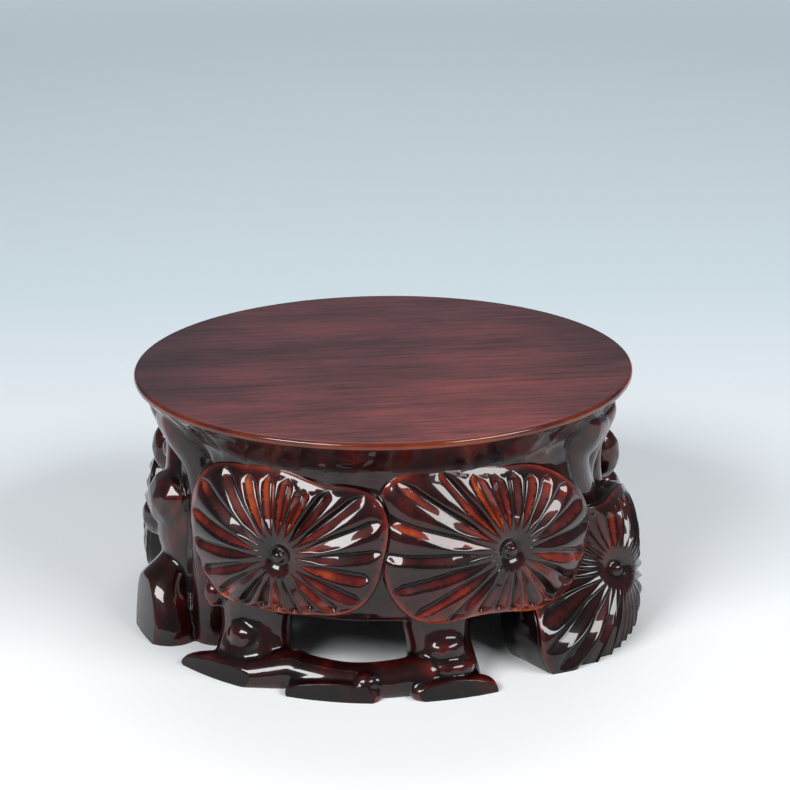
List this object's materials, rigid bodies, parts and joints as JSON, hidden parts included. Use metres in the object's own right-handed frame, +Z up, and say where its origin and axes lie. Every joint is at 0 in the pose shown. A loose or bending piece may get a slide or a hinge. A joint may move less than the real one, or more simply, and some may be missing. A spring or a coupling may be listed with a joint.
{
  "type": "carved display stand",
  "caption": "Round lacquered wooden display stand: a flat turned top with a coved rim on a carved ring of pine-needle clusters, knotted trunks and root feet.",
  "frame": {"origin": "on the floor, under the middle of the round top", "axes": "+Z up, square to the top; -Y towards the pictured front, where the two large clusters are side by side; +X to the right seen from there"},
  "size_m": [0.1228, 0.1266, 0.06],
  "materials": {
    "satin_face": "red-brown hardwood face with fine straight grain, satin lacquer, redder along its edge",
    "lacquer": "carved hardwood under a deep dark-red gloss lacquer, darker in the cuts and redder on the ridges",
    "dowel_wood": "bare light hardwood, hidden in its holes"
  },
  "bodies": {
    "root": {"top_board": "satin_face", "front_left_panel": "lacquer", "front_right_panel": "lacquer", "back_left_panel": "lacquer", "back_right_panel": "lacquer", "right_cluster_post": "lacquer", "left_cluster_post": "lacquer", "left_trunk_post": "lacquer", "right_trunk_post": "lacquer", "front_left_leg": "lacquer", "front_right_leg": "lacquer", "back_left_leg": "lacquer", "back_right_leg": "lacquer", "front_floor_root": "lacquer", "back_floor_root": "lacquer", "front_board_dowel_1": "dowel_wood", "front_board_dowel_2": "dowel_wood", "front_board_dowel_3": "dowel_wood", "front_board_dowel_4": "dowel_wood", "front_leg_dowel_1": "dowel_wood", "front_leg_dowel_2": "dowel_wood", "back_board_dowel_1": "dowel_wood", "back_board_dowel_2": "dowel_wood", "back_board_dowel_3": "dowel_wood", "back_board_dowel_4": "dowel_wood", "back_leg_dowel_1": "dowel_wood", "back_leg_dowel_2": "dowel_wood"}
  },
  "joints": []
}
